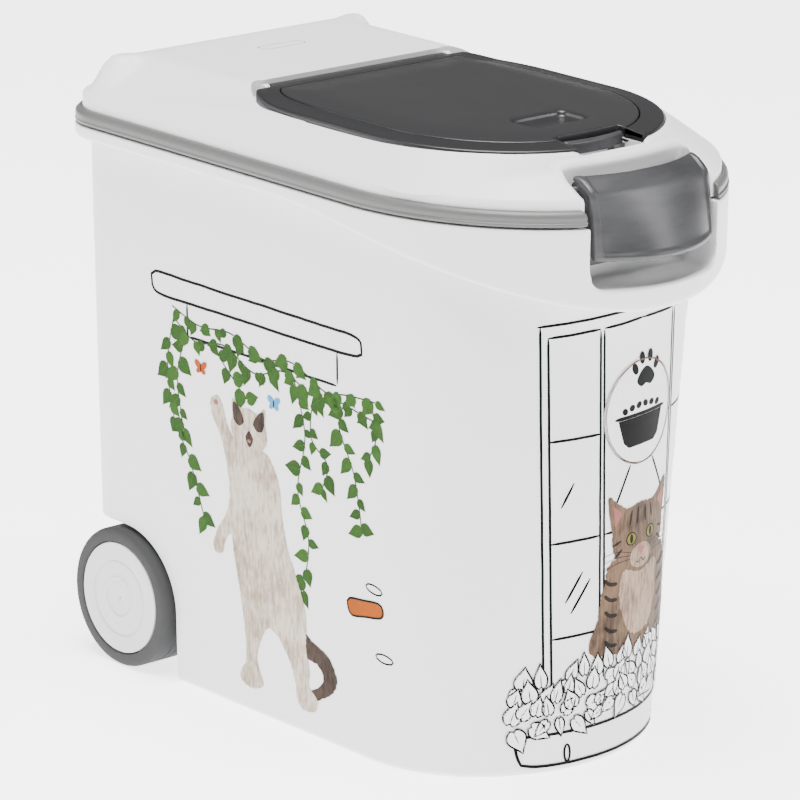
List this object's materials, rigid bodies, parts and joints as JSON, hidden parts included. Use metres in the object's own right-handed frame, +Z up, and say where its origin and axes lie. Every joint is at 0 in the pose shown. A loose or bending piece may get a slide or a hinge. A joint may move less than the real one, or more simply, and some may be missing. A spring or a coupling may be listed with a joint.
{
  "type": "pet food bin",
  "caption": "Tall wheeled storage bin with a rounded front, a hinged lid, a dispensing flap in the lid and a front latch over a finger pocket.",
  "frame": {"origin": "middle of the footprint of the closed bin, on the floor", "axes": "+X towards the latch, +Z up; left is the -Y side, as seen by a person who faces the latch"},
  "size_m": [0.4598, 0.2756, 0.425],
  "materials": {
    "white_shell": "satin moulded plastic",
    "grey_band": "satin moulded plastic",
    "dark_flap": "satin moulded plastic",
    "dark_frame": "satin moulded plastic",
    "latch_grey": "glossy moulded plastic",
    "hook_grey": "satin moulded plastic",
    "wheel_rim_grey": "soft moulded tread",
    "hub_grey": "satin moulded plastic",
    "seal_rubber": "soft seal",
    "steel": "drawn steel"
  },
  "bodies": {
    "bin": {"tub": "white_shell", "hinge_bracket_left": "white_shell", "hinge_bracket_right": "white_shell", "axle_bracket_left": "white_shell", "axle_bracket_right": "white_shell", "axle_rod": "steel", "axle_clip_left": "steel", "axle_clip_right": "steel"},
    "wheel_left": {"tyre_left": "wheel_rim_grey", "wheel_core_left": "hub_grey", "hub_cap_left": "hub_grey"},
    "wheel_right": {"tyre_right": "wheel_rim_grey", "wheel_core_right": "hub_grey", "hub_cap_right": "hub_grey"},
    "lid": {"lid_shell": "white_shell", "grip_band": "grey_band", "lid_gasket": "seal_rubber", "lid_pin_left": "steel", "lid_pin_right": "steel", "flap_pin_left": "steel", "flap_pin_right": "steel", "catch_pin": "steel", "latch_pin": "steel"},
    "flap": {"flap_frame": "dark_frame", "flap_panel": "dark_flap", "flap_seal": "seal_rubber"},
    "catch": {"flap_catch": "hook_grey"},
    "latch": {"latch_handle": "latch_grey", "latch_hook": "hook_grey"}
  },
  "joints": [
    {"name": "wheel_left_spin", "type": "hinge", "parent": "bin", "child": "wheel_left", "pos_m": [-0.176, -0.104, 0.049], "axis": [0, 1, 0], "continuous": true},
    {"name": "wheel_right_spin", "type": "hinge", "parent": "bin", "child": "wheel_right", "pos_m": [-0.176, 0.104, 0.049], "axis": [0, 1, 0], "continuous": true},
    {"name": "lid_hinge", "type": "hinge", "parent": "bin", "child": "lid", "pos_m": [-0.226, 0, 0.387], "axis": [0, -1, 0], "range_deg": [0, 105]},
    {"name": "flap_hinge", "type": "hinge", "parent": "lid", "child": "flap", "pos_m": [-0.0745, 0, 0.42], "axis": [0, -1, 0], "range_deg": [0, 100]},
    {"name": "catch_flex", "type": "hinge", "parent": "lid", "child": "catch", "pos_m": [0.153, 0, 0.405], "axis": [0, 1, 0], "range_deg": [0, 6], "stiffness_Nm_per_rad": 0.5},
    {"name": "latch_hinge", "type": "hinge", "parent": "lid", "child": "latch", "pos_m": [0.19, 0, 0.401], "axis": [0, -1, 0], "range_deg": [0, 60]}
  ]
}
